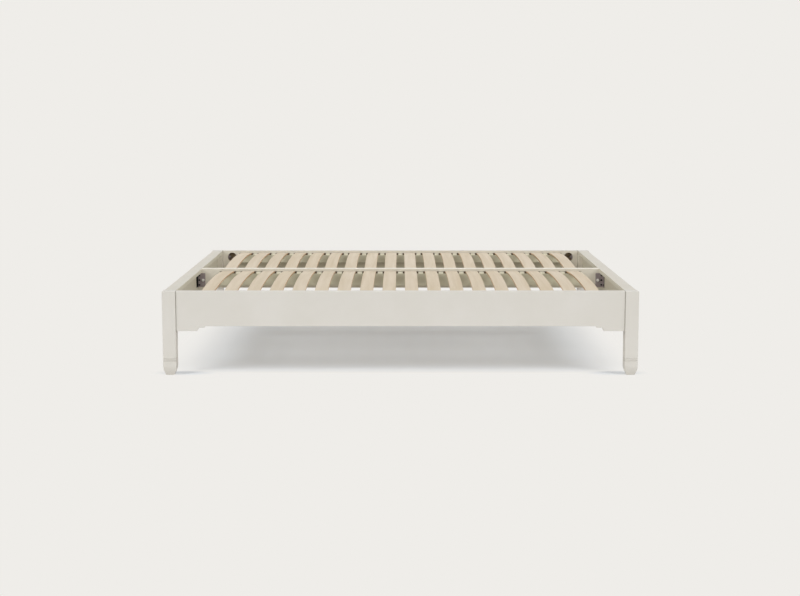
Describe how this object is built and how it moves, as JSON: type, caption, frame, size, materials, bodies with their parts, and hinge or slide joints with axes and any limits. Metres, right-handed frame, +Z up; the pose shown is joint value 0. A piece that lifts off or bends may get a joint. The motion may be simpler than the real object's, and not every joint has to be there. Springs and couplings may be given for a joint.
{
  "type": "slatted bed base",
  "caption": "Low free-standing bed base: square legs, stepped rails with flat end caps, a centre beam and two rows of bowed wooden slats.",
  "frame": {"origin": "on the floor under the middle of the bed", "axes": "+X along the bed's length, +Y from the front side rail to the back one, +Z up"},
  "size_m": [2.13, 1.88, 0.383],
  "materials": {
    "painted_timber": "satin paint",
    "slat_timber": "clear lacquer",
    "dowel_timber": "raw",
    "holder_plastic": "matt",
    "bracket_steel": "satin",
    "screw_black": "satin black",
    "plated_steel": "zinc plated"
  },
  "bodies": {
    "root": {"beam_bracket_left": "bracket_steel", "beam_bracket_right": "bracket_steel", "bed_bolts": "plated_steel", "bed_nuts": "plated_steel", "bracket_bolts": "plated_steel", "bracket_screws": "screw_black", "centre_beam": "painted_timber", "crescent_washers": "plated_steel", "end_cap_left": "painted_timber", "end_cap_right": "painted_timber", "end_rail_left": "painted_timber", "end_rail_right": "painted_timber", "joint_dowels": "dowel_timber", "ledger_back_beam": "painted_timber", "ledger_back_rail": "painted_timber", "ledger_front_beam": "painted_timber", "ledger_front_rail": "painted_timber", "post_back_left": "painted_timber", "post_back_right": "painted_timber", "post_front_left": "painted_timber", "post_front_right": "painted_timber", "side_rail_back": "painted_timber", "side_rail_front": "painted_timber", "slat_back_01": "slat_timber", "slat_back_02": "slat_timber", "slat_back_03": "slat_timber", "slat_back_04": "slat_timber", "slat_back_05": "slat_timber", "slat_back_06": "slat_timber", "slat_back_07": "slat_timber", "slat_back_08": "slat_timber", "slat_back_09": "slat_timber", "slat_back_10": "slat_timber", "slat_back_11": "slat_timber", "slat_back_12": "slat_timber", "slat_back_13": "slat_timber", "slat_back_14": "slat_timber", "slat_back_15": "slat_timber", "slat_back_16": "slat_timber", "slat_back_17": "slat_timber", "slat_back_18": "slat_timber", "slat_front_01": "slat_timber", "slat_front_02": "slat_timber", "slat_front_03": "slat_timber", "slat_front_04": "slat_timber", "slat_front_05": "slat_timber", "slat_front_06": "slat_timber", "slat_front_07": "slat_timber", "slat_front_08": "slat_timber", "slat_front_09": "slat_timber", "slat_front_10": "slat_timber", "slat_front_11": "slat_timber", "slat_front_12": "slat_timber", "slat_front_13": "slat_timber", "slat_front_14": "slat_timber", "slat_front_15": "slat_timber", "slat_front_16": "slat_timber", "slat_front_17": "slat_timber", "slat_front_18": "slat_timber", "slat_holders": "holder_plastic"}
  },
  "joints": []
}
